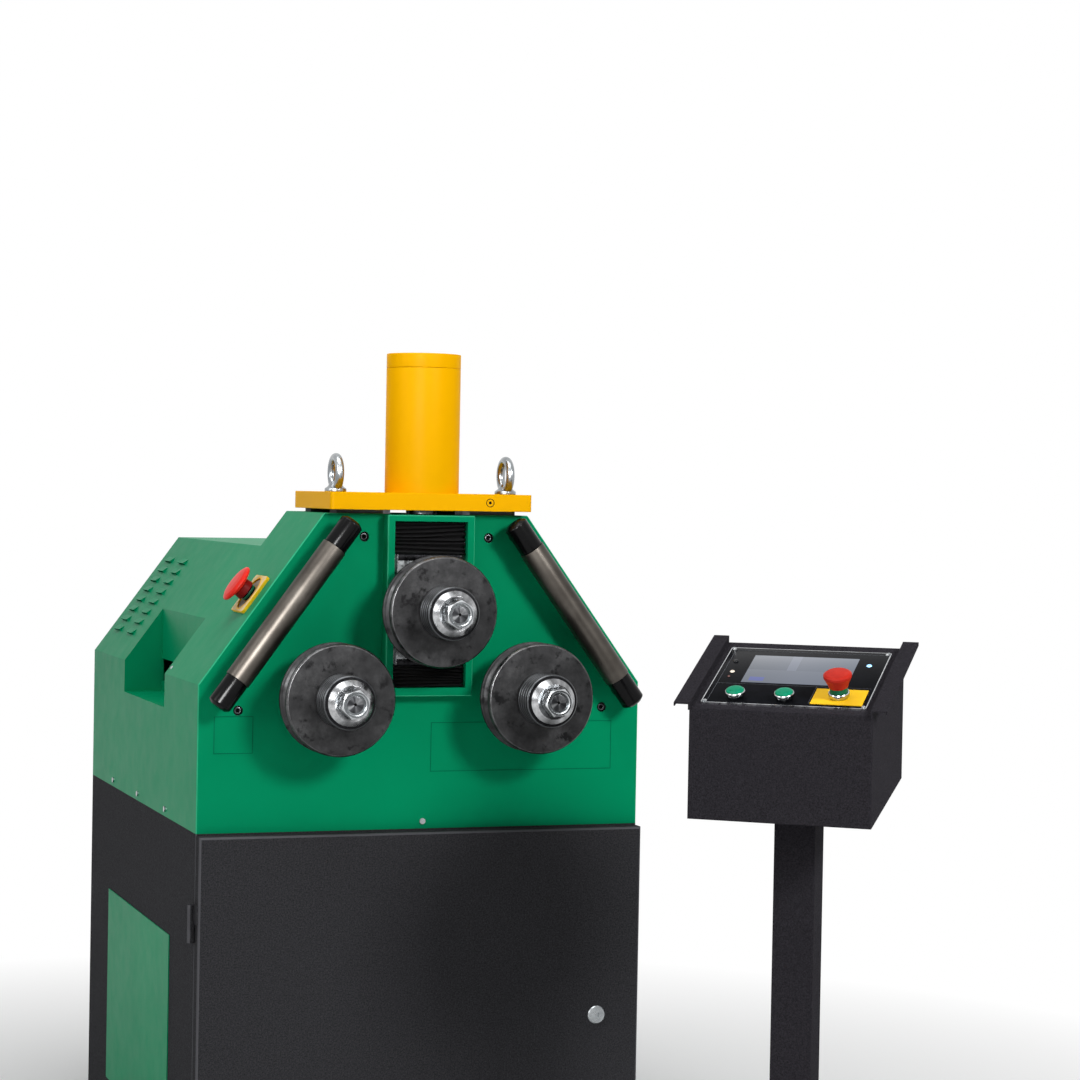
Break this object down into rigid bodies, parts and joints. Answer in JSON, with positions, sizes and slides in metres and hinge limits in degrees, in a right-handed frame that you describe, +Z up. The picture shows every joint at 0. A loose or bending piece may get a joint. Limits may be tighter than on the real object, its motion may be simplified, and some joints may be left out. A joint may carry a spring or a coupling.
{
  "type": "ring roller",
  "caption": "Hydraulic ring roller that bends tube and sections between a pressed upper roll and two driven lower rolls, with a free-standing control console.",
  "frame": {"origin": "on the floor at the centre of the four anchor holes of the machine's feet", "axes": "+Z up, the working side with the rolls faces -Y, +X to the operator's right"},
  "size_m": [1.023, 1.7846, 1.4038],
  "materials": {
    "green_paint": "satin",
    "yellow_paint": "satin",
    "black_paint": "textured matte",
    "machine_paint": "satin",
    "roll_steel": "turned, oiled",
    "bright_steel": "ground",
    "zinc_steel": "zinc plated",
    "guide_steel": "turned",
    "dark_steel": "blackened",
    "gear_steel": "machined",
    "motor_cast_iron": "painted",
    "bellows_rubber": "matte",
    "stop_red": "satin",
    "button_green": "gloss",
    "chrome": "polished",
    "panel_film": "gloss film",
    "screen_glass": "dark display glass",
    "lamp_lens": "clear lens"
  },
  "bodies": {
    "machine": {"hood": "green_paint", "base_cabinet": "black_paint", "anchor_feet": "zinc_steel", "side_cover": "green_paint", "door_hinges": "black_paint", "rear_cover": "green_paint", "window_frame": "green_paint", "frame_bed": "machine_paint", "front_bearing_plate": "machine_paint", "rear_bearing_plate": "machine_paint", "frame_tie_bars": "bright_steel", "lower_bearings": "bright_steel", "carriage_guides": "guide_steel", "top_plate": "yellow_paint", "cylinder_barrel": "yellow_paint", "cylinder_cap": "yellow_paint", "lifting_eyes": "zinc_steel", "upper_bellows": "bellows_rubber", "lower_bellows": "bellows_rubber", "guide_end_blocks": "dark_steel", "guide_axles": "bright_steel", "estop_plates": "yellow_paint", "button_collars": "chrome", "console_stand": "black_paint", "console_box": "black_paint", "console_panel": "panel_film", "console_screen": "screen_glass", "console_indicators": "lamp_lens", "gear_motor": "motor_cast_iron", "hydraulic_power_pack": "motor_cast_iron", "hydraulic_lines": "zinc_steel", "electrical_box": "machine_paint", "frame_screws": "dark_steel", "cover_screws": "zinc_steel"},
    "carriage": {"carriage": "zinc_steel", "top_bearings": "bright_steel", "piston_rod": "bright_steel"},
    "top_roll": {"top_shaft": "bright_steel", "top_roll": "roll_steel", "top_spacers": "bright_steel", "top_clamp_nut": "bright_steel"},
    "left_roll": {"left_shaft": "bright_steel", "left_roll": "roll_steel", "left_spacers": "bright_steel", "left_clamp_nut": "bright_steel", "left_gear": "gear_steel"},
    "right_roll": {"right_shaft": "bright_steel", "right_roll": "roll_steel", "right_spacers": "bright_steel", "right_clamp_nut": "bright_steel", "right_gear": "gear_steel"},
    "drive_pinion": {"drive_pinion": "gear_steel"},
    "left_guide_sleeve": {"left_guide_sleeve": "guide_steel"},
    "right_guide_sleeve": {"right_guide_sleeve": "guide_steel"},
    "cabinet_door": {"cabinet_door": "black_paint"},
    "door_latch": {"door_latch": "zinc_steel"},
    "machine_estop": {"machine_estop_button": "stop_red"},
    "console_estop": {"console_estop_button": "stop_red"},
    "console_left_button": {"console_left_button": "button_green"},
    "console_right_button": {"console_right_button": "button_green"}
  },
  "joints": [
    {"name": "ram_slide", "type": "slide", "parent": "machine", "child": "carriage", "axis": [0, 0, 1], "range_m": [-0.02, 0.04], "deforming": ["upper_bellows", "lower_bellows"]},
    {"name": "top_roll_spin", "type": "hinge", "parent": "carriage", "child": "top_roll", "pos_m": [0, -0.526, 0.9929], "axis": [0, 1, 0], "continuous": true},
    {"name": "left_roll_spin", "type": "hinge", "parent": "machine", "child": "left_roll", "pos_m": [-0.165, -0.526, 0.8552], "axis": [0, 1, 0], "continuous": true},
    {"name": "right_roll_spin", "type": "hinge", "parent": "machine", "child": "right_roll", "pos_m": [0.165, -0.526, 0.8552], "axis": [0, 1, 0], "continuous": true},
    {"name": "drive_pinion_spin", "type": "hinge", "parent": "machine", "child": "drive_pinion", "pos_m": [0, -0.218, 0.80489], "axis": [0, 1, 0], "continuous": true},
    {"name": "left_guide_spin", "type": "hinge", "parent": "machine", "child": "left_guide_sleeve", "pos_m": [-0.24069, -0.49, 0.98821], "axis": [0.5906, 0, 0.807], "continuous": true},
    {"name": "right_guide_spin", "type": "hinge", "parent": "machine", "child": "right_guide_sleeve", "pos_m": [0.24069, -0.49, 0.98821], "axis": [-0.5906, 0, 0.807], "continuous": true},
    {"name": "door_hinge", "type": "hinge", "parent": "machine", "child": "cabinet_door", "pos_m": [-0.376, -0.451, 0.335], "axis": [0, 0, 1], "range_deg": [-110, 0]},
    {"name": "latch_turn", "type": "hinge", "parent": "cabinet_door", "child": "door_latch", "pos_m": [0.296, -0.476, 0.33], "axis": [0, 1, 0], "range_deg": [-90, 0]},
    {"name": "machine_estop_push", "type": "slide", "parent": "machine", "child": "machine_estop", "axis": [0.807, 0, -0.5906], "range_m": [0, 0.005]},
    {"name": "console_estop_push", "type": "slide", "parent": "machine", "child": "console_estop", "axis": [0.248, 0.304, -0.9198], "range_m": [0, 0.005]},
    {"name": "console_left_push", "type": "slide", "parent": "machine", "child": "console_left_button", "axis": [0.248, 0.304, -0.9198], "range_m": [0, 0.003], "stiffness_N_per_m": 400, "springref_m": -0.002},
    {"name": "console_right_push", "type": "slide", "parent": "machine", "child": "console_right_button", "axis": [0.248, 0.304, -0.9198], "range_m": [0, 0.003], "stiffness_N_per_m": 400, "springref_m": -0.002}
  ],
  "couplings": [
    {"joint": "right_roll_spin", "follows": "left_roll_spin", "ratio": 1},
    {"joint": "drive_pinion_spin", "follows": "left_roll_spin", "ratio": -1.76}
  ]
}
